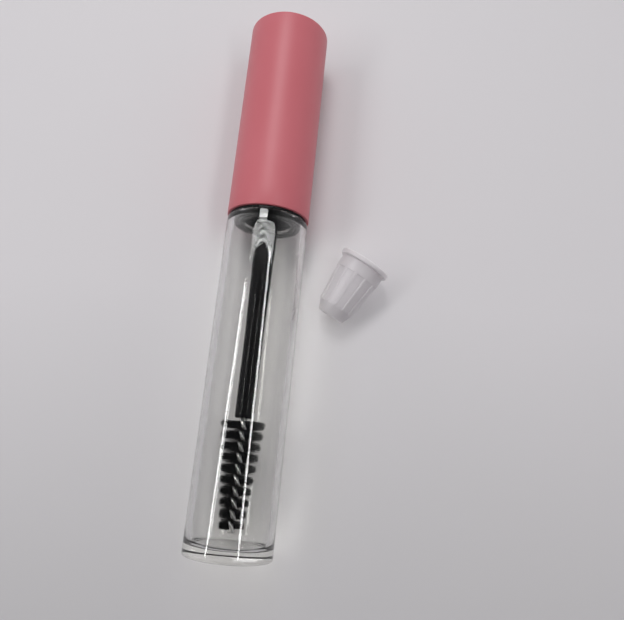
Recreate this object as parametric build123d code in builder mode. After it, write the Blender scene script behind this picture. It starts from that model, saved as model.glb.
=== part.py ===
from build123d import *
import math
import os

# Refillable mascara tube, lying on its side: a clear bottle, a screw cap that carries a rod
# with a twisted-wire brush, and the loose wiper insert that is pushed into the neck after
# filling. Millimetres. The tube's axis is Y, from the flat base at Y = 0 to the cap's top.
# Z is up, and the origin is the centre of the base.

# Whole tube
total_length = 125.1
cap_radius = 9.6
rim_at = 75.0
rim_round = 0.2
floor_at = -cap_radius

# Bottle: thick walls, a thick base and a threaded neck
bottle_radius = 9.5
shoulder_at = 74.2
cavity_radius = 8.1
base_thickness = 2.2
base_round = 0.4
cavity_round = 1.4
shoulder_round = 0.35
shoulder_thickness = 0.9
shoulder_slope = 0.3
neck_radius = 6.3
neck_bore = 5.4
neck_top = 86.5
neck_edge_round = 0.25

# Screw thread, shared by the neck and the cap's liner
thread_pitch = 3.0
thread_turns = 1.5
thread_start = 77.6
thread_crest = 6.9
thread_flank = 1.3
thread_land = 0.6
thread_clearance = 0.05
thread_root_depth = 0.3

# Cap: a painted shell pressed over a black liner
shell_wall = 1.0
shell_top = 1.2
shell_round = 0.45
liner_lip_at = 74.45
liner_lip_radius = 9.0
liner_radius = 8.3
liner_bore = 7.45
liner_web_at = 86.8
liner_web = 2.0
liner_skirt_top = 93.0
liner_rib_count = 12
liner_rib_width = 1.0
liner_rib_root = 0.3
liner_rib_lead = 0.5
liner_rib_gap = 1.0
liner_fit = 0.02
rib_fit = 0.04
boss_radius = 3.9
boss_top = 101.0
boss_air = 0.3

# Rod: a taper from the liner's socket down to the brush
rod_radius = 2.5
rod_tip_radius = 2.12
rod_taper_from = 68.0
rod_taper_to = 47.0
rod_end = 28.5
rod_top = 99.5
rod_clearance = 0.03
rod_tip_round = 0.4
rod_top_round = 0.3
wire_socket_top = 37.0
wire_socket_radius = 0.83

# Brush: two wire strands twisted together grip two helical rows of bristles
brush_tip = 5.5
brush_top = 28.0
brush_tip_radius = 2.76
brush_top_radius = 5.0
row_spacing = 2.317
tip_row = 6.35
row_thickness = 1.2
row_root = 0.46
row_path_radius = 1.5
strand_radius = 0.38
strand_offset = 0.39
wire_tip = 4.9
wire_top = 36.4

# Wiper insert, lying beside the tube on its flange and on the end of its taper
flange_centre_x = 24.0
flange_centre_y = 67.8
insert_heading = -28.9
flange_radius = 6.2
flange_thickness = 1.2
collar_radius = 5.45
collar_length = 3.0
body_end_radius = 4.45
body_length = 13.0
nose_radius = 3.2
insert_length = 15.3
mouth_radius = 4.5
throat_radius = 3.7
wiping_radius = 2.1
wiping_length = 1.5
insert_rib_count = 12
insert_rib_width = 0.55
insert_rib_height = 0.25
insert_rib_lap = 0.2
insert_rib_root = 0.4

# Circles this close in radius are the same ring
same_ring = 0.01


def meridian_plane(origin, along, radial):
    """Plane with its local x outwards along radial and its local y along the axis."""
    outward = Vector(radial)
    return Plane(origin=origin, x_dir=outward, z_dir=outward.cross(Vector(along)))


def helical_ridge(start, height, pitch, path_radius, section, lefthand=False):
    """Sweep a (radius, offset) section along a helix about Y and add it to the active part."""
    with BuildLine() as path:
        Helix(pitch, height, path_radius, center=(0, start, 0), direction=(0, 1, 0), lefthand=lefthand)
    radial = (path.line @ 0) - Vector(0, start, 0)
    with BuildSketch(meridian_plane((0, start, 0), (0, 1, 0), radial.normalized())) as ridge:
        Polygon(*section, align=None)
    sweep(ridge.sketch, path=path.line, is_frenet=True)


def thread_section(root_radius, crest_radius):
    """Trapezoid from inside the root to the crest; it works outwards and inwards."""
    return [
        (root_radius, -thread_flank / 2),
        (crest_radius, -thread_land / 2),
        (crest_radius, thread_land / 2),
        (root_radius, thread_flank / 2),
    ]


os.makedirs("parts", exist_ok=True)

# Bottle: one outline turned about the axis, then the raised thread on the neck
with BuildPart() as bottle:
    with BuildSketch(Plane.XY):
        Polygon(
            (0, 0),
            (bottle_radius, 0),
            (bottle_radius, shoulder_at),
            (neck_radius, shoulder_at),
            (neck_radius, neck_top),
            (neck_bore, neck_top),
            (neck_bore, shoulder_at - shoulder_thickness),
            (cavity_radius, shoulder_at - shoulder_thickness - shoulder_slope),
            (cavity_radius, base_thickness),
            (0, base_thickness),
            align=None,
        )
    revolve(axis=Axis.Y)
    rings = bottle.edges().filter_by(GeomType.CIRCLE).sort_by(Axis.Y)
    outer_rings = rings.filter_by(lambda ring: abs(ring.radius - bottle_radius) < same_ring)
    cavity_rings = rings.filter_by(lambda ring: abs(ring.radius - cavity_radius) < same_ring)
    fillet(outer_rings[0], base_round)
    fillet(outer_rings[-1], shoulder_round)
    fillet(cavity_rings[0], cavity_round)
    fillet(rings[-2:], neck_edge_round)
    helical_ridge(
        thread_start,
        thread_pitch * thread_turns,
        thread_pitch,
        neck_radius,
        thread_section(neck_radius - thread_root_depth, thread_crest),
    )
bottle.part.label = "bottle"
export_step(bottle.part, "parts/bottle.step")

# Cap shell: a plain cup
with BuildPart() as cap_shell:
    with BuildSketch(Plane.XY):
        Polygon(
            (0, total_length),
            (cap_radius, total_length),
            (cap_radius, rim_at),
            (cap_radius - shell_wall, rim_at),
            (cap_radius - shell_wall, total_length - shell_top),
            (0, total_length - shell_top),
            align=None,
        )
    revolve(axis=Axis.Y)
    rings = cap_shell.edges().filter_by(GeomType.CIRCLE).sort_by(Axis.Y)
    outer_rings = rings.filter_by(lambda ring: abs(ring.radius - cap_radius) < same_ring)
    fillet(outer_rings[-1], shell_round)
    fillet(outer_rings[0], rim_round)
cap_shell.part.label = "cap_shell"
export_step(cap_shell.part, "parts/cap_shell.step")

# Cap liner: a skirt with the inside thread, a lip that shows below the shell's rim, a web
# over the neck, a boss that holds the rod, and crush ribs that grip the shell
with BuildPart() as cap_liner:
    with BuildSketch(Plane.XY):
        Polygon(
            (liner_bore, liner_lip_at),
            (liner_lip_radius, liner_lip_at),
            (liner_lip_radius, rim_at - liner_fit),
            (liner_radius, rim_at - liner_fit),
            (liner_radius, liner_skirt_top),
            (liner_bore, liner_skirt_top),
            (liner_bore, liner_web_at + liner_web),
            (boss_radius, liner_web_at + liner_web),
            (boss_radius, boss_top),
            (0, boss_top),
            (0, rod_top + boss_air),
            (rod_radius + rod_clearance, rod_top + boss_air),
            (rod_radius + rod_clearance, liner_web_at),
            (liner_bore, liner_web_at),
            align=None,
        )
    revolve(axis=Axis.Y)
    rib_from = rim_at + liner_rib_gap
    rib_reach = cap_radius - shell_wall - rib_fit
    for step in range(liner_rib_count):
        angle = 2 * math.pi * step / liner_rib_count
        outward = (math.cos(angle), 0, math.sin(angle))
        with BuildSketch(meridian_plane((0, 0, 0), (0, 1, 0), outward)):
            Polygon(
                (liner_radius - liner_rib_root, rib_from),
                (rib_reach, rib_from + liner_rib_lead),
                (rib_reach, liner_skirt_top - liner_rib_lead),
                (liner_radius - liner_rib_root, liner_skirt_top),
                align=None,
            )
        extrude(amount=liner_rib_width / 2, both=True)
    helical_ridge(
        thread_start + thread_pitch / 2,
        thread_pitch * thread_turns,
        thread_pitch,
        liner_bore,
        thread_section(liner_bore + thread_root_depth, thread_crest + thread_clearance),
    )
cap_liner.part.label = "cap_liner"
export_step(cap_liner.part, "parts/cap_liner.step")

# Rod: turned taper with a blind socket for the wire
with BuildPart() as wand_rod:
    with BuildSketch(Plane.XY):
        Polygon(
            (wire_socket_radius, rod_end),
            (rod_tip_radius, rod_end),
            (rod_tip_radius, rod_taper_to),
            (rod_radius, rod_taper_from),
            (rod_radius, rod_top),
            (0, rod_top),
            (0, wire_socket_top),
            (wire_socket_radius, wire_socket_top),
            align=None,
        )
    revolve(axis=Axis.Y)
    rings = wand_rod.edges().filter_by(GeomType.CIRCLE).sort_by(Axis.Y)
    tip_rings = rings.filter_by(lambda ring: abs(ring.radius - rod_tip_radius) < same_ring)
    fillet(tip_rings[0], rod_tip_round)
    fillet(rings[-1], rod_top_round)
wand_rod.part.label = "wand_rod"
export_step(wand_rod.part, "parts/wand_rod.step")

# Brush wire: two round strands on one left-hand helix, half a turn apart. Each strand crosses
# the top of the brush midway between two rows, because the rows are clamped between them
with BuildPart() as strand:
    with BuildLine() as strand_path:
        Helix(
            2 * row_spacing,
            wire_top - wire_tip,
            strand_offset,
            center=(0, wire_tip, 0),
            direction=(0, 1, 0),
            lefthand=True,
        )
    with BuildSketch(Plane(origin=strand_path.line @ 0, z_dir=strand_path.line % 0)):
        Circle(strand_radius)
    sweep(path=strand_path.line, is_frenet=True)

strand_phase = -180 * (wire_tip - tip_row + row_spacing) / row_spacing
with BuildPart() as brush_wire:
    for half_turn in (0, 180):
        add(strand.part, rotation=(0, strand_phase + half_turn, 0))
brush_wire.part.label = "brush_wire"
export_step(brush_wire.part, "parts/brush_wire.step")

# Bristles: two left-hand helical rows that widen from the tip to the rod
with BuildPart() as bristle_row:
    row_from = brush_tip + row_thickness / 2
    row_to = brush_top - row_thickness / 2
    with BuildLine() as row_path:
        Helix(
            2 * row_spacing,
            row_to - row_from,
            row_path_radius,
            center=(0, row_from, 0),
            direction=(0, 1, 0),
            lefthand=True,
        )
    row_ends = ((0, row_from, brush_tip_radius), (1, row_to, brush_top_radius))
    row_sections = []
    for path_end, height, reach in row_ends:
        radial = (row_path.line @ path_end) - Vector(0, height, 0)
        with BuildSketch(meridian_plane((0, height, 0), (0, 1, 0), radial.normalized())) as section:
            Polygon(
                (row_root, -row_thickness / 2),
                (reach, -row_thickness / 2),
                (reach, row_thickness / 2),
                (row_root, row_thickness / 2),
                align=None,
            )
        row_sections.append(section.sketch)
    sweep(row_sections, path=row_path.line, is_frenet=True, multisection=True)

row_phase = -180 * (row_from - tip_row + row_spacing / 2) / row_spacing
with BuildPart() as bristles:
    for half_turn in (0, 180):
        add(bristle_row.part, rotation=(0, row_phase + half_turn, 0))
bristles.part.label = "bristles"
export_step(bristles.part, "parts/bristles.step")

# Wiper insert: flange, plain collar, ribbed taper and a nose with the wiping hole. It lies
# on the flange's edge and on the end of the taper, so its axis dips by the angle between them
dip = math.atan((flange_radius - body_end_radius) / (body_length - flange_thickness))
heading = math.radians(insert_heading)
level_axis = Vector(math.sin(heading), -math.cos(heading), 0)
insert_axis = level_axis * math.cos(dip) - Vector(0, 0, math.sin(dip))
insert_side = Vector(math.cos(heading), math.sin(heading), 0)
insert_origin = Vector(
    flange_centre_x,
    flange_centre_y,
    floor_at + flange_radius * math.cos(dip) + flange_thickness * math.sin(dip),
)
with BuildPart() as wiper_insert:
    with BuildSketch(meridian_plane(insert_origin, insert_axis, insert_side)):
        Polygon(
            (mouth_radius, 0),
            (flange_radius, 0),
            (flange_radius, flange_thickness),
            (collar_radius, flange_thickness),
            (collar_radius, flange_thickness + collar_length),
            (collar_radius - insert_rib_height, flange_thickness + collar_length),
            (body_end_radius - insert_rib_height, body_length),
            (nose_radius, insert_length),
            (wiping_radius, insert_length),
            (wiping_radius, insert_length - wiping_length),
            (throat_radius - insert_rib_height, body_length - wiping_length),
            align=None,
        )
    revolve(axis=Axis(insert_origin, insert_axis))
    for step in range(insert_rib_count):
        turn = 2 * math.pi * step / insert_rib_count
        outward = insert_side * math.cos(turn) + insert_axis.cross(insert_side) * math.sin(turn)
        with BuildSketch(meridian_plane(insert_origin, insert_axis, outward)):
            Polygon(
                (throat_radius + insert_rib_root, flange_thickness + collar_length - insert_rib_lap),
                (collar_radius, flange_thickness + collar_length - insert_rib_lap),
                (body_end_radius, body_length - insert_rib_lap),
                (throat_radius + insert_rib_root / 2, body_length - insert_rib_lap),
                align=None,
            )
        extrude(amount=insert_rib_width / 2, both=True)
wiper_insert.part.label = "wiper_insert"
export_step(wiper_insert.part, "parts/wiper_insert.step")
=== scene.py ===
# %% [markdown]
# # A refillable mascara tube
#
# The tube lies on its side on a pale table. It has a clear bottle with thick walls, a pink
# cap, a black rod with a twisted-wire brush, and a loose milky insert that wipes the brush.
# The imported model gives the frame: every piece made here goes where that model says.
#
# The tube's axis is Y. Its flat base is at Y = 0, its cap's top is at Y = 125.1 mm, and Z is up.

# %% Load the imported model
import math

import bpy
import numpy as np
from mathutils import Matrix, Vector


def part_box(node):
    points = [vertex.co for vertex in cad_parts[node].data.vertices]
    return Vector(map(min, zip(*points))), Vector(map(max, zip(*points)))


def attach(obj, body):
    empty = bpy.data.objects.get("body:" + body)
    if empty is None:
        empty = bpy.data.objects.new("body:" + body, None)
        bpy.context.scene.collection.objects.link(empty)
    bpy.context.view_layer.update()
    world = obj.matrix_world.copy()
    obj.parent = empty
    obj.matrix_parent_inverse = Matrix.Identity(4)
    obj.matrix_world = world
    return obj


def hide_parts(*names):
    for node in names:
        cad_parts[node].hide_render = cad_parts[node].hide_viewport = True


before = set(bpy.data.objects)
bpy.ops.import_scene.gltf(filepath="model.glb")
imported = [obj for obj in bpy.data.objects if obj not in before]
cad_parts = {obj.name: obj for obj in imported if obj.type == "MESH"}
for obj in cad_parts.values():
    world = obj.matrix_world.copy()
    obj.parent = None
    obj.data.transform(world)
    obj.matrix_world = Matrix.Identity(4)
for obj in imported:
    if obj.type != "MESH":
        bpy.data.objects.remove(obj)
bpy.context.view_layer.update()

# %% [markdown]
# Sizes below are in millimetres, as on a drawing, and Blender works in metres. Each helper is
# defined where it is first needed. The first two turn millimetres into metres and a colour
# picked in a paint program, which is sRGB, into the linear values that a shader wants.

# %% Units and colours
MM = 0.001


def linear(colour):
    """Linear red, green, blue and alpha from an sRGB hex value such as "#c4757c"."""
    parts = [int(colour[i:i + 2], 16) / 255 for i in (1, 3, 5)]
    return tuple(c / 12.92 if c <= 0.04045 else ((c + 0.055) / 1.055) ** 2.4 for c in parts) + (1.0,)


print("mid grey in linear light:", [round(c, 3) for c in linear("#808080")])

# %% [markdown]
# ## Camera
#
# The camera looks almost straight down from close above, so the far end of the tube looks
# clearly narrower than the near end. Its direction is given by an azimuth, an elevation and a
# small roll, and its three axes are worked out from them and written into its matrix.

# %% Camera above the table
camera_place = (16.07, 22.31, 132.87)
azimuth, elevation, roll = (math.radians(a) for a in (6.47, 76.42, -1.01))
back = Vector((
    math.sin(azimuth) * math.cos(elevation),
    -math.cos(azimuth) * math.cos(elevation),
    math.sin(elevation),
))
level = Vector((math.cos(azimuth), math.sin(azimuth), 0))
tilted = back.cross(level)
right = math.cos(roll) * level + math.sin(roll) * tilted
up = math.cos(roll) * tilted - math.sin(roll) * level

bpy.ops.object.select_all(action="DESELECT")
bpy.ops.object.camera_add()
camera = bpy.context.object
camera.name = "camera"
camera_axes = Matrix((right, up, back)).transposed().to_4x4()
camera.matrix_world = Matrix.Translation(Vector(camera_place) * MM) @ camera_axes
camera.data.lens = 34.57
camera.data.sensor_width = 36
camera.data.clip_start = 10 * MM
bpy.context.scene.camera = camera
print("camera looks along", [round(c, 3) for c in -back])

# %% [markdown]
# ## Light
#
# Two long tube lamps give the thin bright lines that run down the clear bottle: a lamp shows in
# a round wall as a line much narrower than itself. The left lamp also throws the soft shadow
# on the right. Thin lamps that lie across the tube, past the cap, show as arches over the rod.
# Round clear plastic mirrors whatever is straight above it, so the sky is kept dark there and
# pale near the horizon, and the one broad lamp that lights the table stands past the cap's end.

# %% Lamps
floor_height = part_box("cap_shell")[0][2] / MM
lamp_distance = 450
lamp_near_end = -110
tube_lamps_aim = 45
arch_lamps_aim = 60
arch_height = 500
arch_size = (600, 2.2)


def add_lamp(name, middle, facing, length_way, size, watts):
    """Rectangular lamp in millimetres that faces a way, with its length along another."""
    bpy.ops.object.select_all(action="DESELECT")
    bpy.ops.object.light_add(type="AREA")
    made = bpy.context.object
    made.name = name
    made.data.shape = "RECTANGLE"
    made.data.size, made.data.size_y = (side * MM for side in size)
    made.data.energy = watts
    across = length_way.cross(-facing).normalized()
    turned = Matrix((across, (-facing).cross(across), -facing)).transposed().to_4x4()
    made.matrix_world = Matrix.Translation(middle * MM) @ turned


def tube_lamp(name, angles, far_end, width, watts):
    """Long thin lamp between two angles from straight up, seen along the tube, at its two ends."""
    ends = []
    for angle, along in zip(angles, (lamp_near_end, far_end)):
        turn = math.radians(angle)
        ends.append(Vector((lamp_distance * math.sin(turn), along, lamp_distance * math.cos(turn))))
    middle = (ends[0] + ends[1]) / 2
    length_way = (ends[1] - ends[0]).normalized()
    facing = Vector((0, tube_lamps_aim, 0)) - middle
    facing = (facing - facing.dot(length_way) * length_way).normalized()
    add_lamp(name, middle, facing, length_way, (width, (ends[1] - ends[0]).length), watts)


def arch_lamp(name, along, watts):
    """Thin lamp across the tube, past its far end; a round wall mirrors it as an arch."""
    middle = Vector((0, along, arch_height))
    facing = (Vector((0, arch_lamps_aim, 0)) - middle).normalized()
    add_lamp(name, middle, facing, Vector((1, 0, 0)), (arch_size[1], arch_size[0]), watts)


tube_lamp("left_tube_lamp", (-49, -34), 178, 28, 0.44)
tube_lamp("right_tube_lamp", (34, 23), 215, 26, 0.36)
for number, along in enumerate((242, 251, 260, 269, 278)):
    arch_lamp(f"arch_lamp_{number}", along, 0.06)
down, along_tube = Vector((0, 0, -1)), Vector((0, 1, 0))
add_lamp("far_lamp", Vector((-90, 520, 620)), down, along_tube, (260, 300), 2.1)

# %% [markdown]
# The sky is a ramp on the height of the direction looked in. A second one, along the tube,
# dims it towards the bottle's base, where the table is darker.

# %% Sky, dark overhead and pale at the horizon
world = bpy.data.worlds.new("room")
bpy.context.scene.world = world
world.use_nodes = True
sky = world.node_tree
sky_way = sky.nodes.new("ShaderNodeTexCoord")
sky_split = sky.nodes.new("ShaderNodeSeparateXYZ")
sky_ramp = sky.nodes.new("ShaderNodeValToRGB")
sky.links.new(sky_way.outputs["Generated"], sky_split.inputs[0])
sky.links.new(sky_split.outputs["Z"], sky_ramp.inputs[0])
sky_side = sky.nodes.new("ShaderNodeMapRange")
sky_side.inputs["From Min"].default_value = -0.9
sky_side.inputs["From Max"].default_value = 0.1
sky_side.inputs["To Min"].default_value = 0.12
sky_side.inputs["To Max"].default_value = 0.72
sky.links.new(sky_split.outputs["Y"], sky_side.inputs["Value"])
sky.links.new(sky_side.outputs[0], sky.nodes["Background"].inputs["Strength"])
sky.links.new(sky_ramp.outputs[0], sky.nodes["Background"].inputs["Color"])
sky_ramp.color_ramp.elements[0].position = 0.45
sky_ramp.color_ramp.elements[0].color = linear("#e9e8ea")
sky_ramp.color_ramp.elements[1].position = 0.85
sky_ramp.color_ramp.elements[1].color = linear("#4a4a4c")
bpy.context.scene.view_settings.view_transform = "Standard"
print("sky nodes:", len(sky.nodes))

# %% [markdown]
# ## Materials
#
# Each material starts from what the real one is and how it was made. One function adds a node:
# a plain value is set on the socket, and another node's output is linked to it.


# %% A function that adds a node
def add(tree, kind, inputs=None, **settings):
    """Add a node, give it its settings, and set or link the inputs named."""
    made = tree.nodes.new(kind)
    for name, value in settings.items():
        setattr(made, name, value)
    for name, value in (inputs or {}).items():
        if isinstance(value, bpy.types.NodeSocket):
            tree.links.new(value, made.inputs[name])
        else:
            made.inputs[name].default_value = value
    return made


def new_material(name):
    """Empty node material and its tree, with an output to link to."""
    material = bpy.data.materials.new(name)
    material.use_nodes = True
    material.node_tree.nodes.clear()
    return material, material.node_tree


def finish_material(material, shader):
    """Link a shader to the output, and return the material."""
    add(material.node_tree, "ShaderNodeOutputMaterial", {"Surface": shader.outputs[0]})
    print("material:", material.name, len(material.node_tree.nodes), "nodes")
    return material


def noise(tree, size, stretch=(1, 1, 1), detail=3.0, roughness=0.5):
    """Noise on object coordinates whose grains are about size millimetres, stretched by axis."""
    place = add(tree, "ShaderNodeTexCoord")
    scale = add(
        tree,
        "ShaderNodeMapping",
        {"Vector": place.outputs["Object"], "Scale": tuple(1 / (size * MM * s) for s in stretch)},
    )
    return add(
        tree,
        "ShaderNodeTexNoise",
        {"Vector": scale.outputs[0], "Scale": 1.0, "Detail": detail, "Roughness": roughness},
    )


def let_lamps_through(tree, shader, colour):
    """Make a shader clear to shadow rays only, so that lamps shine through the piece."""
    through = add(tree, "ShaderNodeBsdfTransparent", {"Color": linear(colour)})
    ray = add(tree, "ShaderNodeLightPath")
    mixed = add(tree, "ShaderNodeMixShader", {"Fac": ray.outputs["Is Shadow Ray"]})
    tree.links.new(shader.outputs[0], mixed.inputs[1])
    tree.links.new(through.outputs[0], mixed.inputs[2])
    return mixed


# %% [markdown]
# The bottle is PETG, moulded clear. The eye gets sharp reflections that waver a little, because
# the mould's wall cools unevenly, and a faint grey cast. Lamps are let through it, so that
# what is inside is lit as it is through a real thin clear wall.

# %% Clear moulded PETG
def clear_petg():
    material, tree = new_material("clear_moulded_petg")
    waver = noise(tree, 1.3, stretch=(0.25, 1.0, 0.25), detail=3.0, roughness=0.6)
    ripple = add(
        tree,
        "ShaderNodeBump",
        {"Height": waver.outputs[0], "Strength": 1.0, "Distance": 0.0032 * MM},
    )
    wall = add(
        tree,
        "ShaderNodeBsdfPrincipled",
        {
            "Base Color": linear("#eaeae9"),
            "Roughness": 0.03,
            "IOR": 1.57,
            "Transmission Weight": 1.0,
            "Normal": ripple.outputs[0],
        },
    )
    return finish_material(material, let_lamps_through(tree, wall, "#f2f2f0"))


clear_wall = clear_petg()

# %% [markdown]
# The cap is ABS with a sprayed satin paint. Paint spreads the lamps into one broad soft glow,
# its pigment is very slightly uneven, and the spray leaves a fine grain, drawn at 0.25 mm,
# which is coarser than the real one so that it shows.

# %% Satin paint sprayed on ABS
def satin_paint():
    material, tree = new_material("satin_paint_on_abs")
    cloud = noise(tree, 14, detail=3.0)
    shade = add(tree, "ShaderNodeMix", {"Factor": cloud.outputs[0]}, data_type="RGBA")
    shade.inputs[6].default_value = linear("#c6646d")
    shade.inputs[7].default_value = linear("#cd6e77")
    grain = noise(tree, 0.25, detail=2.0)
    sprayed = add(
        tree,
        "ShaderNodeBump",
        {"Height": grain.outputs[0], "Strength": 0.25, "Distance": 0.01 * MM},
    )
    spread = add(
        tree,
        "ShaderNodeMapRange",
        {"Value": grain.outputs[0], "To Min": 0.38, "To Max": 0.48},
    )
    paint = add(
        tree,
        "ShaderNodeBsdfPrincipled",
        {
            "Base Color": shade.outputs[2],
            "Roughness": spread.outputs[0],
            "IOR": 1.5,
            "Sheen Weight": 0.08,
            "Sheen Roughness": 0.4,
            "Normal": sprayed.outputs[0],
        },
    )
    return finish_material(material, paint)


pink_paint = satin_paint()

# %% [markdown]
# The liner, the rod and the bristles are all black plastics, but the eye tells them apart: the
# liner is polypropylene with a waxy gloss, the rod is acetal and shines more, and the bristles
# are nylon, drawn fine, with a soft gleam along each hair.

# %% Black plastics
def black_plastic(name, colour, roughness, grain_size, grain_depth, ior):
    """Moulded black plastic with a faint uneven gloss of the given grain size."""
    material, tree = new_material(name)
    grain = noise(tree, grain_size, detail=3.0)
    gloss = add(
        tree,
        "ShaderNodeMapRange",
        {"Value": grain.outputs[0], "To Min": roughness * 0.8, "To Max": roughness * 1.2},
    )
    skin = add(
        tree,
        "ShaderNodeBump",
        {"Height": grain.outputs[0], "Strength": 0.3, "Distance": grain_depth * MM},
    )
    plastic = add(
        tree,
        "ShaderNodeBsdfPrincipled",
        {
            "Base Color": linear(colour),
            "Roughness": gloss.outputs[0],
            "IOR": ior,
            "Specular IOR Level": 0.25,
            "Normal": skin.outputs[0],
        },
    )
    return finish_material(material, plastic)


black_liner = black_plastic("black_moulded_polypropylene", "#0e0e0f", 0.28, 1.5, 0.02, 1.49)
black_rod = black_plastic("black_moulded_acetal", "#040405", 0.16, 1.2, 0.008, 1.48)
black_bristle = black_plastic("black_nylon_filament", "#020202", 0.6, 0.3, 0.01, 1.4)

# %% [markdown]
# The brush's core is stainless steel wire. Drawing it through a die leaves fine lines along the
# wire and a bright but not mirror-like surface.

# %% Drawn stainless steel
def drawn_steel():
    material, tree = new_material("drawn_stainless_steel")
    lines = noise(tree, 0.3, stretch=(1, 6, 1), detail=2.0)
    spread = add(
        tree,
        "ShaderNodeMapRange",
        {"Value": lines.outputs[0], "To Min": 0.26, "To Max": 0.36},
    )
    steel = add(
        tree,
        "ShaderNodeBsdfPrincipled",
        {"Base Color": linear("#f5f4f3"), "Metallic": 1.0, "Roughness": spread.outputs[0]},
    )
    return finish_material(material, steel)


steel_wire = drawn_steel()

# %% [markdown]
# The insert is natural low-density polyethylene. It is milky: light enters, scatters and comes
# out near by, so thin walls look paler and edges look soft. Its skin is waxy. Thin walls also
# let part of each lamp's light through, so its shadow is paler than a solid block's.

# %% Milky polyethylene
def milky_polyethylene():
    material, tree = new_material("natural_moulded_polyethylene")
    cloud = noise(tree, 3.0, detail=3.0)
    gloss = add(
        tree,
        "ShaderNodeMapRange",
        {"Value": cloud.outputs[0], "To Min": 0.26, "To Max": 0.4},
    )
    skin = add(
        tree,
        "ShaderNodeBump",
        {"Height": cloud.outputs[0], "Strength": 0.3, "Distance": 0.04 * MM},
    )
    plastic = add(
        tree,
        "ShaderNodeBsdfPrincipled",
        {
            "Base Color": linear("#dad6d9"),
            "Roughness": gloss.outputs[0],
            "IOR": 1.51,
            "Transmission Weight": 0.1,
            "Subsurface Weight": 1.0,
            "Subsurface Radius": (1.0, 1.0, 1.0),
            "Subsurface Scale": 2.5 * MM,
            "Normal": skin.outputs[0],
        },
    )
    return finish_material(material, let_lamps_through(tree, plastic, "#d6d6d6"))


milky_insert = milky_polyethylene()

# %% [markdown]
# The table is a smooth pale board. Its tone has slow clouds about 120 mm across, and painted shade
# makes it a little darker towards the bottle's base, where less light falls.

# %% Pale board
def pale_board():
    material, tree = new_material("pale_lacquered_board")
    place = add(tree, "ShaderNodeTexCoord")
    split = add(tree, "ShaderNodeSeparateXYZ", {"Vector": place.outputs["Object"]})
    # Painted shade: the board's colour is darkened along Y towards the bottle's base, for light that
    # falls off there.
    fade = add(
        tree,
        "ShaderNodeMapRange",
        {"Value": split.outputs["Y"], "From Min": -30 * MM, "From Max": 60 * MM},
    )
    cloud = noise(tree, 120, detail=3.0)
    uneven = add(
        tree,
        "ShaderNodeMapRange",
        {"Value": cloud.outputs[0], "To Min": -0.15, "To Max": 0.15},
    )
    factor = add(
        tree, "ShaderNodeMath", {0: fade.outputs[0], 1: uneven.outputs[0]}, use_clamp=True
    )
    # The darker colour serves both the board's slow clouds and the painted shade towards the base.
    tone_with_painted_shade = add(tree, "ShaderNodeMix", {"Factor": factor.outputs[0]}, data_type="RGBA")
    tone_with_painted_shade.inputs[6].default_value = linear("#c7c5c7")
    tone_with_painted_shade.inputs[7].default_value = linear("#dddadd")
    board = add(
        tree,
        "ShaderNodeBsdfPrincipled",
        {"Base Color": tone_with_painted_shade.outputs[2], "Roughness": 0.6, "IOR": 1.45},
    )
    return finish_material(material, board)


board_finish = pale_board()

# %% Table under the tube
bpy.ops.object.select_all(action="DESELECT")
bpy.ops.mesh.primitive_plane_add(size=4, location=(0, 0, floor_height * MM))
table = bpy.context.object
table.name = "table"
table.data.materials.append(board_finish)
print("table at", floor_height, "mm")

# %% [markdown]
# ## Turned pieces
#
# The bottle, the cap, the rod and the insert are all round. A half outline is drawn as a chain
# of points on one side of the axis and spun once round it, as on a lathe. Rounded corners are
# arcs worked out from their centre and radius.


# %% Outline and spin
def arc(centre, radius, start, stop, points=6):
    """Points on an arc about a centre (radius from the axis, height), angles in degrees."""
    angles = [math.radians(start + (stop - start) * i / (points - 1)) for i in range(points)]
    return [(centre[0] + radius * math.cos(a), centre[1] + radius * math.sin(a)) for a in angles]


def line(start, stop, parts):
    """Evenly spaced points between two ends, both left out."""
    return [tuple(a + (b - a) * i / parts for a, b in zip(start, stop)) for i in range(1, parts)]


def spun(name, outline, steps=128, sharp=40):
    """Draw an outline of (radius, height) points and spin it once round the Y axis."""
    bpy.ops.object.select_all(action="DESELECT")
    bpy.ops.mesh.primitive_plane_add(size=MM)
    piece = bpy.context.object
    piece.name = piece.data.name = name
    bpy.ops.object.mode_set(mode="EDIT")
    bpy.ops.mesh.select_all(action="SELECT")
    bpy.ops.mesh.merge(type="CENTER")
    spot = (0.0, 0.0)
    for number, point in enumerate(outline):
        move = ((point[0] - spot[0]) * MM, (point[1] - spot[1]) * MM, 0)
        if number:
            bpy.ops.mesh.extrude_vertices_move(TRANSFORM_OT_translate={"value": move})
        else:
            bpy.ops.transform.translate(value=move)
        spot = point
    bpy.ops.mesh.select_all(action="SELECT")
    bpy.ops.mesh.spin(steps=steps, angle=2 * math.pi, center=(0, 0, 0), axis=(0, 1, 0))
    bpy.ops.mesh.select_all(action="SELECT")
    bpy.ops.mesh.remove_doubles(threshold=0.001 * MM)
    bpy.ops.mesh.normals_make_consistent(inside=False)
    bpy.ops.object.mode_set(mode="OBJECT")
    bpy.ops.object.shade_smooth_by_angle(angle=math.radians(sharp))
    print(name, len(piece.data.polygons), "faces")
    return piece


def fit(piece, body, material, slot, *nodes):
    """Give a finished piece its material and its body, and hide the nodes it stands for; slot is not
    used.
    """
    piece.data.materials.clear()
    piece.data.materials.append(material)
    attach(piece, body)
    if nodes:
        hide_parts(*nodes)


print("a quarter arc:", [tuple(round(c, 2) for c in point) for point in arc((0, 0), 1, 0, 90, 3)])

# %% [markdown]
# ## Bottle
#
# The bottle is one closed wall: up the outside, over the neck's mouth and down the inside, to a
# thick base. Two fine rings stand on the shoulder's underside, as a mould leaves them, and show
# as thin pale ellipses round the rod. The screw thread is raised afterwards by moving the neck's
# own vertices outwards along a helix, because a separate ridge inside clear plastic would show
# its hidden faces.

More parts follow.
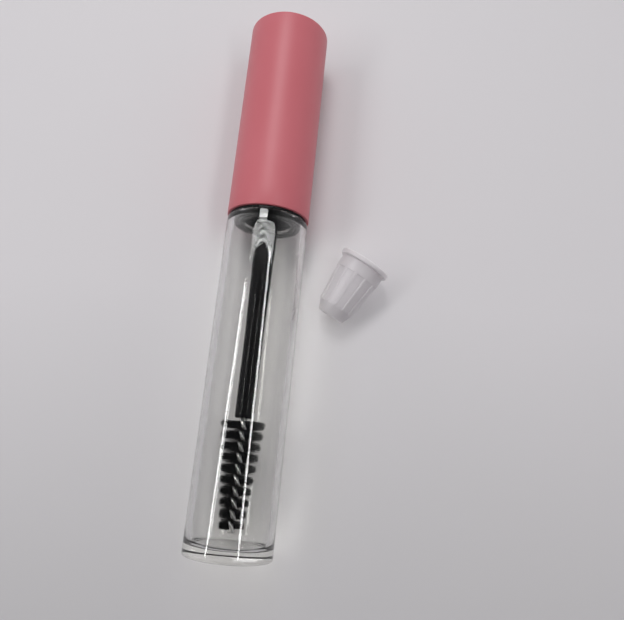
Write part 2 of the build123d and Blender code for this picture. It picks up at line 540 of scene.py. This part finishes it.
# %% Bottle wall
bottle_radius = 9.5
cavity_radius = 8.1
base_thickness = 2.2
base_round = 0.4
shoulder_at = 74.2
neck_radius = 6.3
neck_bore = 5.4
neck_top = 86.5
thread_pitch = 3.0
thread_turns = 1.5
thread_start = 77.6
thread_crest = 6.9
shoulder_round = 0.35
neck_foot_round = 0.3
lip_round = 0.25
bore_end = shoulder_at - 0.7
bore_end_round = 0.2
mould_rings = (6.35, 7.15)
ring_round = 0.2
ring_centre_at = shoulder_at - 0.95
cavity_top = shoulder_at - 1.3
cavity_top_round = 0.3
cavity_foot_round = 1.4
cavity_foot = base_thickness + cavity_foot_round

bottle_outline = (
    [(0, 0)]
    + arc((bottle_radius - base_round, base_round), base_round, -90, 0, 8)
    + line((bottle_radius, base_round), (bottle_radius, shoulder_at - shoulder_round), 24)
    + arc((bottle_radius - shoulder_round, shoulder_at - shoulder_round), shoulder_round, 0, 90, 5)
    + [(neck_radius + neck_foot_round, shoulder_at)]
    + arc(
        (neck_radius + neck_foot_round, shoulder_at + neck_foot_round),
        neck_foot_round, -90, -180, 4,
    )[1:]
    + line((neck_radius, shoulder_at + neck_foot_round), (neck_radius, neck_top - lip_round), 56)
    + arc((neck_radius - lip_round, neck_top - lip_round), lip_round, 0, 90, 4)
    + arc((neck_bore + lip_round, neck_top - lip_round), lip_round, 90, 180, 4)
    + arc((neck_bore + bore_end_round, bore_end), bore_end_round, 180, 270, 4)
)
for ring in mould_rings:
    bottle_outline += arc((ring, ring_centre_at), ring_round, 180, 360, 7)
bottle_outline += (
    arc((cavity_radius - cavity_top_round, cavity_top), cavity_top_round, 90, 0, 6)
    + line((cavity_radius, cavity_top), (cavity_radius, cavity_foot), 24)
    + arc((cavity_radius - cavity_foot_round, cavity_foot), cavity_foot_round, 0, -90, 8)
    + [(0, base_thickness)]
)
bottle = spun("bottle_wall", bottle_outline)


# %% Raise the thread on the neck
ridge_half_width = 0.65
ridge_flank = 0.35
run_out = 0.12


def thread_lift(turn, height):
    """How far the neck stands out at a turn and a height: 0 off the thread, 1 on its crest."""
    for whole in (0, 1):
        along = turn + whole
        if along <= thread_turns:
            off = abs(height - thread_start - along * thread_pitch)
            ridge = min(1.0, max(0.0, (ridge_half_width - off) / ridge_flank))
            fade = min(1.0, along / run_out, (thread_turns - along) / run_out)
            if ridge * fade > 0:
                return ridge * fade
    return 0.0


raised = 0
for vertex in bottle.data.vertices:
    x, y, z = (c / MM for c in vertex.co)
    if abs(math.hypot(x, z) - neck_radius) < 0.01 and shoulder_at + 1 < y < neck_top - 0.5:
        lift = thread_lift((math.atan2(x, z) / (2 * math.pi)) % 1.0, y)
        factor = 1 + lift * (thread_crest / neck_radius - 1)
        vertex.co = Vector((x * factor, y, z * factor)) * MM
        raised += lift > 0
fit(bottle, "bottle", clear_wall, "clear_wall", "bottle")
print("thread vertices raised:", raised)

# %% [markdown]
# ## Cap
#
# The cap's shell is a deep thin cup with a softly rounded top edge. Its rim is rounded too, and
# below it the black liner shows as a thin dark line.

# %% Cap shell
cap_radius = 9.6
cap_wall = 1.0
cap_top = 125.1
cap_rim = 75.0
top_round = 0.45
rim_outer_round = 0.2
rim_inner_round = 0.15
top_flat = cap_radius - 2.5
roof_inside = cap_top - 1.2
roof_corner = 0.3
cap_bore = cap_radius - cap_wall
cap_outline = (
    [(0, cap_top), (top_flat, cap_top)]
    + arc((cap_radius - top_round, cap_top - top_round), top_round, 90, 0, 7)
    + line((cap_radius, cap_top - top_round), (cap_radius, cap_rim + rim_outer_round), 12)
    + arc((cap_radius - rim_outer_round, cap_rim + rim_outer_round), rim_outer_round, 0, -90, 4)
    + arc((cap_bore + rim_inner_round, cap_rim + rim_inner_round), rim_inner_round, -90, -180, 4)
    + [(cap_bore, roof_inside - roof_corner), (cap_bore - roof_corner, roof_inside), (0, roof_inside)]
)
cap_shell = spun("cap_painted_shell", cap_outline)
fit(cap_shell, "cap_and_brush", pink_paint, "pink_paint", "cap_shell")

# %% [markdown]
# ## Rod
#
# The rod is a moulded pin that narrows to the brush. Its end is rounded over, and the wire goes
# into a blind hole in it.

# %% Rod
rod_radius = 2.5
rod_tip_radius = 2.12
rod_end = 28.5
rod_top = 99.5
wire_socket = 0.83
socket_end = 37
rod_tip_round = 0.4
rod_top_round = 0.3
taper_from = (rod_tip_radius, 47)
taper_to = (rod_radius, 68)
rod_outline = (
    [(0, socket_end), (wire_socket, socket_end), (wire_socket, rod_end)]
    + arc((rod_tip_radius - rod_tip_round, rod_end + rod_tip_round), rod_tip_round, -90, 0, 6)
    + line((rod_tip_radius, rod_end + rod_tip_round), taper_from, 6)
    + [taper_from]
    + line(taper_from, taper_to, 8)
    + [taper_to]
    + line(taper_to, (rod_radius, rod_top - rod_top_round), 10)
    + arc((rod_radius - rod_top_round, rod_top - rod_top_round), rod_top_round, 0, 90, 5)
    + [(0, rod_top)]
)
rod = spun("rod_moulded", rod_outline, steps=72)
fit(rod, "rod", black_rod, "black_rod", "wand_rod")

# %% [markdown]
# ## Bristles
#
# The bristles are nylon hairs clamped between two twisted wires, so they stand out in two
# left-hand spiral rows. One hair is a thin three-sided spike. Thousands of copies of it go into
# one mesh, because a mesh for each would be slow: each is set at its place along the row, turned
# outwards, and given its own length and lean.

# %% One hair
hair_radius = 0.045
bpy.ops.object.select_all(action="DESELECT")
bpy.ops.mesh.primitive_cone_add(vertices=3, radius1=1.0, radius2=0.5, depth=1.0, location=(0, 0, 0.5))
hair = bpy.context.object
hair.name = "hair"
bpy.ops.object.transform_apply(location=True)
hair_points = np.array([vertex.co[:] for vertex in hair.data.vertices])
hair_faces = [tuple(face.vertices) for face in hair.data.polygons]
bpy.data.objects.remove(hair)
print("one hair:", len(hair_points), "points,", len(hair_faces), "faces")

# %% Two spiral rows
row_spacing = 2.317
tip_row = 6.35
brush_tip = 5.5
brush_top = 28.0
tip_reach = 2.76
top_reach = 5.0
row_thickness = 1.2
wire_reach = 0.5
hairs_per_turn = 115
hairs_across = 6
foot_share = 0.3
layer_scatter = 0.08
tip_scatter = 0.1
turn_scatter = 0.02
reach_scatter = (-0.09, 0.02)
row_rounding = 0.18
top_row = brush_top - 0.6
rng = np.random.default_rng(11)

points = []
faces = []
first_turn = (brush_tip - tip_row) / (2 * row_spacing) - 0.5
last_turn = (brush_top - tip_row) / (2 * row_spacing) + 0.5
for half in (0.0, 0.5):
    for step in range(int((last_turn - first_turn) * hairs_per_turn)):
        turn = first_turn + step / hairs_per_turn
        height = tip_row - row_spacing / 2 + 2 * row_spacing * turn
        for layer in range(hairs_across):
            across = (layer + 0.5) / hairs_across - 0.5 + rng.uniform(-layer_scatter, layer_scatter)
            foot_height = height + across * row_thickness * foot_share
            tip_height = height + across * row_thickness + rng.normal(0, tip_scatter)
            if not brush_tip < tip_height < brush_top or not brush_tip < foot_height < brush_top:
                continue
            angle = 2 * math.pi * (turn + half) + rng.normal(0, turn_scatter)
            up_brush = (height - tip_row) / (top_row - tip_row)
            reach = tip_reach + (top_reach - tip_reach) * up_brush
            reach *= (1 - row_rounding * across ** 2) * (1 + rng.uniform(*reach_scatter))
            outward = np.array([-math.sin(angle), 0.0, math.cos(angle)])
            foot = outward * wire_reach + np.array([0, foot_height, 0])
            tip = outward * reach + np.array([0, tip_height, 0])
            along = tip - foot
            side = np.cross(along, (0, 1, 0))
            side /= np.linalg.norm(side)
            over = np.cross(along, side) / np.linalg.norm(along)
            base = len(points) * len(hair_points)
            points.append(
                foot
                + hair_points[:, :1] * side * hair_radius
                + hair_points[:, 1:2] * over * hair_radius
                + hair_points[:, 2:] * along
            )
            faces += [tuple(base + corner for corner in face) for face in hair_faces]

bristle_mesh = bpy.data.meshes.new("bristle_rows")
bristle_mesh.from_pydata(np.concatenate(points) * MM, [], faces)
bristle_rows = bpy.data.objects.new("bristle_rows", bristle_mesh)
bpy.context.scene.collection.objects.link(bristle_rows)
fit(bristle_rows, "cap_and_brush", black_bristle, "black_bristles", "bristles")
print("hairs:", len(points), "faces:", len(faces))

# %% [markdown]
# ## Wiper insert
#
# The insert is a small cup with a flange, a plain collar that grips the neck, a tapering body
# with ribs along it, and a short cone with the wiping hole. It is made upright on the Y axis
# and then laid down on its flange's edge and on the end of its taper.

# %% Insert body
flange_radius = 6.2
flange_thickness = 1.2
collar_radius = 5.45
collar_length = 3.0
body_end_radius = 4.45
body_length = 13.0
nose_radius = 3.2
insert_length = 15.3
mouth_radius = 4.5
wiping_radius = 2.1
rib_height = 0.16
flange_round = 0.3
collar_foot_round = 0.2
collar_end_round = 0.15
inside_end = (3.4, body_length - 1.5)
wiping_edge = 0.1
wiping_length = 1.5
collar_end = flange_thickness + collar_length
body_start_floor = collar_radius - rib_height
body_end_floor = body_end_radius - rib_height
insert_outline = (
    arc((mouth_radius + flange_round, flange_round), flange_round, 180, 270, 4)
    + arc((flange_radius - flange_round, flange_round), flange_round, -90, 0, 5)
    + arc((flange_radius - flange_round, flange_thickness - flange_round), flange_round, 0, 90, 5)
    + arc(
        (collar_radius + collar_foot_round, flange_thickness + collar_foot_round),
        collar_foot_round, -90, -180, 4,
    )
    + arc((collar_radius - collar_end_round, collar_end - collar_end_round), collar_end_round, 0, 90, 4)
    + [(body_start_floor, collar_end + 0.02)]
    + line((body_start_floor, collar_end), (body_end_floor, body_length), 8)
    + [(body_end_floor - 0.02, body_length), (body_end_floor - 0.2, body_length + 0.25)]
    + [(nose_radius + 0.1, insert_length - 0.2), (nose_radius - 0.05, insert_length)]
    + [(wiping_radius + wiping_edge, insert_length), (wiping_radius, insert_length - wiping_edge)]
    + [(wiping_radius, insert_length - wiping_length), inside_end]
    + line(inside_end, (mouth_radius, flange_round), 6)
)
insert = spun("wiper_insert_moulded", insert_outline + insert_outline[:1], steps=96)

# %% [markdown]
# The ribs are low bars with rounded edges. One bar is made from a cube and leaned in to follow
# the taper, the others are turned copies of it, and a boolean union joins them to the body.
# Bars only pushed into the body would show their hidden faces through the milky wall. The
# union leaves a few points almost on top of each other, so those are merged.

# %% One rib, copied round the body
rib_count = 12
rib_width = 0.7
rib_depth = 0.55
rib_bevel = 0.1
rib_from = collar_end - 0.15
rib_to = body_length - 0.1
bpy.ops.object.select_all(action="DESELECT")
bpy.ops.mesh.primitive_cube_add(size=1)
rib = bpy.context.object
rib.name = "rib"
rib.scale = (rib_width * MM, (rib_to - rib_from) * MM, rib_depth * MM)
rib.location = (0, (rib_from + rib_to) / 2 * MM, (collar_radius - rib_depth / 2) * MM)
bpy.ops.object.transform_apply(location=True, rotation=False, scale=True)
bpy.ops.object.mode_set(mode="EDIT")
bpy.ops.mesh.select_mode(type="FACE")
bpy.ops.mesh.select_all(action="DESELECT")
bpy.ops.object.mode_set(mode="OBJECT")
for face in rib.data.polygons:
    face.select = face.normal.y > 0.9
bpy.ops.object.mode_set(mode="EDIT")
bpy.ops.transform.translate(value=(0, 0, (body_end_radius - collar_radius) * MM))
bpy.ops.mesh.select_all(action="SELECT")
bpy.ops.mesh.bevel(offset=rib_bevel * MM, segments=3, affect="EDGES")
bpy.ops.object.mode_set(mode="OBJECT")
bpy.ops.object.shade_smooth_by_angle(angle=math.radians(50))
ribs = [rib]
for number in range(1, rib_count):
    copy = bpy.data.objects.new(f"rib_{number}", rib.data.copy())
    bpy.context.scene.collection.objects.link(copy)
    copy.data.transform(Matrix.Rotation(2 * math.pi * number / rib_count, 4, "Y"))
    ribs.append(copy)
bpy.ops.object.select_all(action="DESELECT")
for piece in ribs:
    piece.select_set(True)
bpy.context.view_layer.objects.active = rib
bpy.ops.object.join()
bpy.ops.object.select_all(action="DESELECT")
bpy.context.view_layer.objects.active = insert
merge = insert.modifiers.new("ribs", "BOOLEAN")
merge.operation = "UNION"
merge.object = rib
bpy.ops.object.modifier_apply(modifier=merge.name)
bpy.data.objects.remove(rib)
bpy.ops.object.select_all(action="DESELECT")
insert.select_set(True)
bpy.ops.object.mode_set(mode="EDIT")
bpy.ops.mesh.select_all(action="SELECT")
bpy.ops.mesh.remove_doubles(threshold=0.002 * MM)
bpy.ops.mesh.dissolve_degenerate(threshold=0.001 * MM)
bpy.ops.object.mode_set(mode="OBJECT")
bpy.ops.object.shade_smooth_by_angle(angle=math.radians(45))
print("insert with ribs:", len(insert.data.polygons), "faces")

# %% Lay the insert down
flange_centre = (24.0, 67.8)
dip = math.atan((flange_radius - body_end_radius) / (body_length - flange_thickness))
heading = math.radians(-28.9)
insert_axis = Vector((
    math.sin(heading) * math.cos(dip),
    -math.cos(heading) * math.cos(dip),
    -math.sin(dip),
))
insert_side = Vector((math.cos(heading), math.sin(heading), 0))
insert_up = insert_side.cross(insert_axis)
insert_rise = floor_height + flange_radius * math.cos(dip) + flange_thickness * math.sin(dip)
lying = Matrix((insert_side, insert_axis, insert_up)).transposed().to_4x4()
insert.data.transform(Matrix.Translation(Vector((*flange_centre, insert_rise)) * MM) @ lying)
fit(insert, "wiper", milky_insert, "milky_insert", "wiper_insert")
print("insert's lowest point:", round(min(v.co.z for v in insert.data.vertices) / MM, 3), "mm")

# %% [markdown]
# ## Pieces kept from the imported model
#
# The liner and the twisted wire already have their true shape, so they only get their finish.

# %% Finishes on the kept pieces
for name, material in (("cap_liner", black_liner), ("brush_wire", steel_wire)):
    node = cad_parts[name]
    node.data.materials.clear()
    node.data.materials.append(material)
print("kept:", [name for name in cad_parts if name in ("cap_liner", "brush_wire")])
